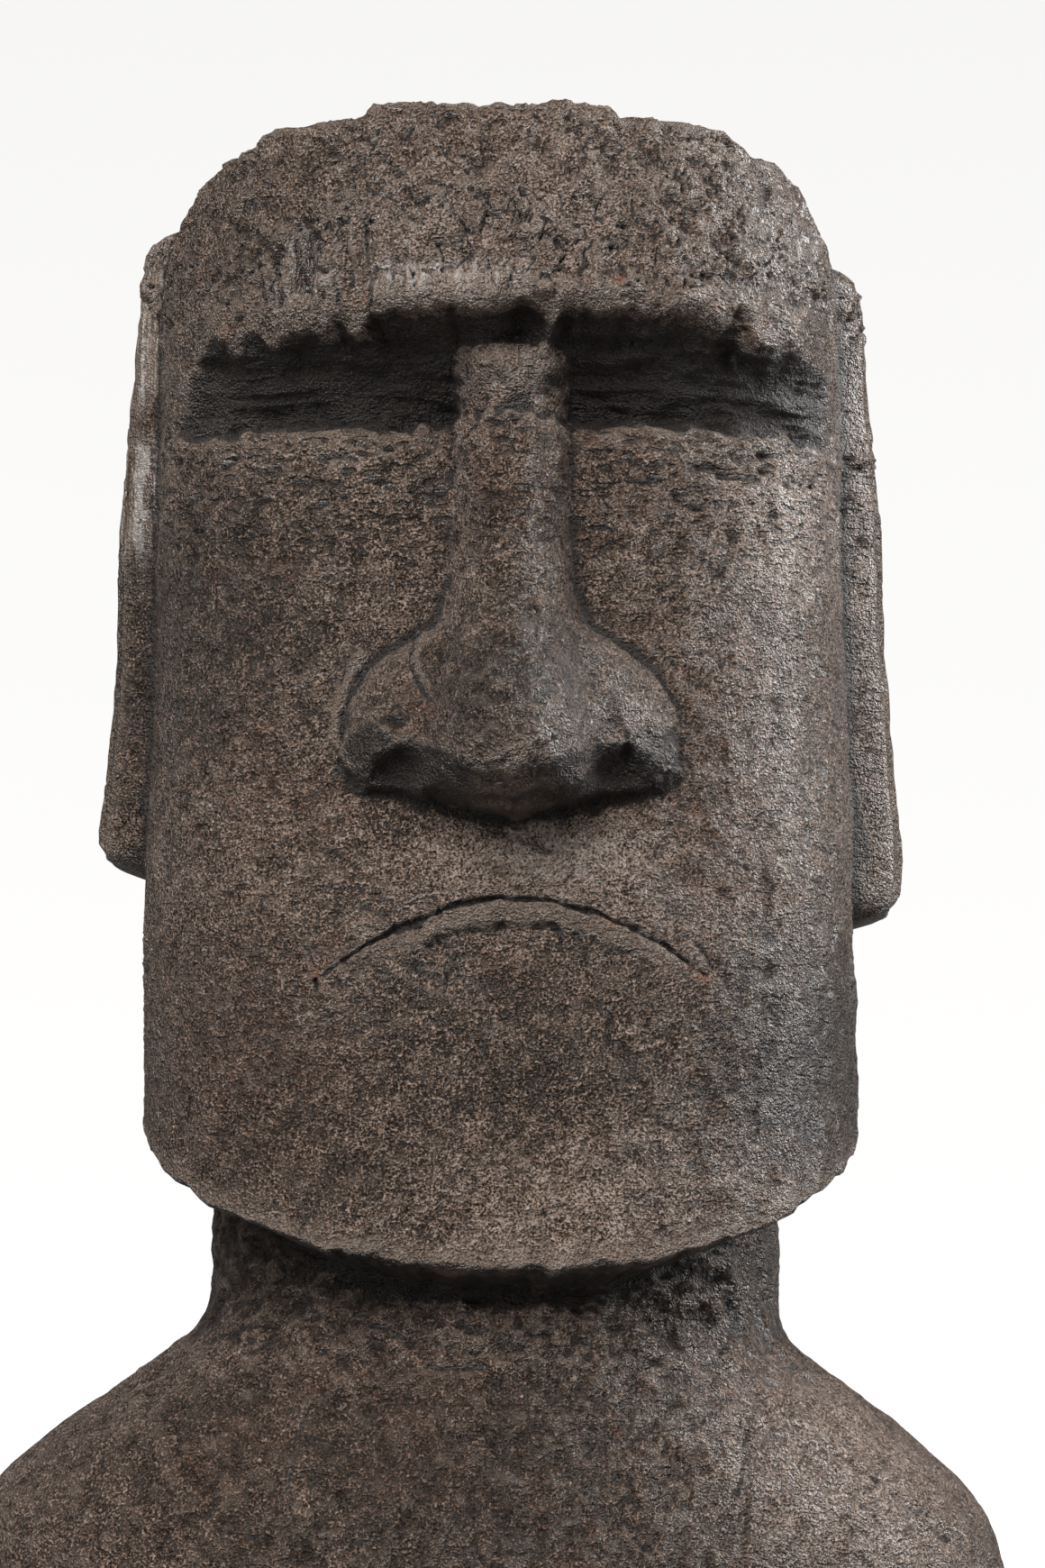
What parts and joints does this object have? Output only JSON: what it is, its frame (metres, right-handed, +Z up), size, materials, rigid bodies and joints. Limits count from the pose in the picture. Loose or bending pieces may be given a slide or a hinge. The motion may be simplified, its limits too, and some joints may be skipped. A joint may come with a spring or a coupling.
{
  "type": "moai head statue",
  "caption": "Stone-effect moai bust: long head with heavy brow, flared nose, arched mouth and slab ears, on a neck and sloping shoulders cut flat below, for standing on a floor or table.",
  "frame": {"origin": "where the upright axis of the head and neck meets the flat underside", "axes": "+Z up from the underside to the crown; the face looks towards -Y; +X is on the right of someone facing the bust"},
  "size_m": [0.5418, 0.3709, 0.7997],
  "materials": {
    "dark_stone": "dark brown stone-effect surface, finely pitted, with a thin satin coat"
  },
  "bodies": {
    "root": {"moai_bust": "dark_stone"}
  },
  "joints": []
}
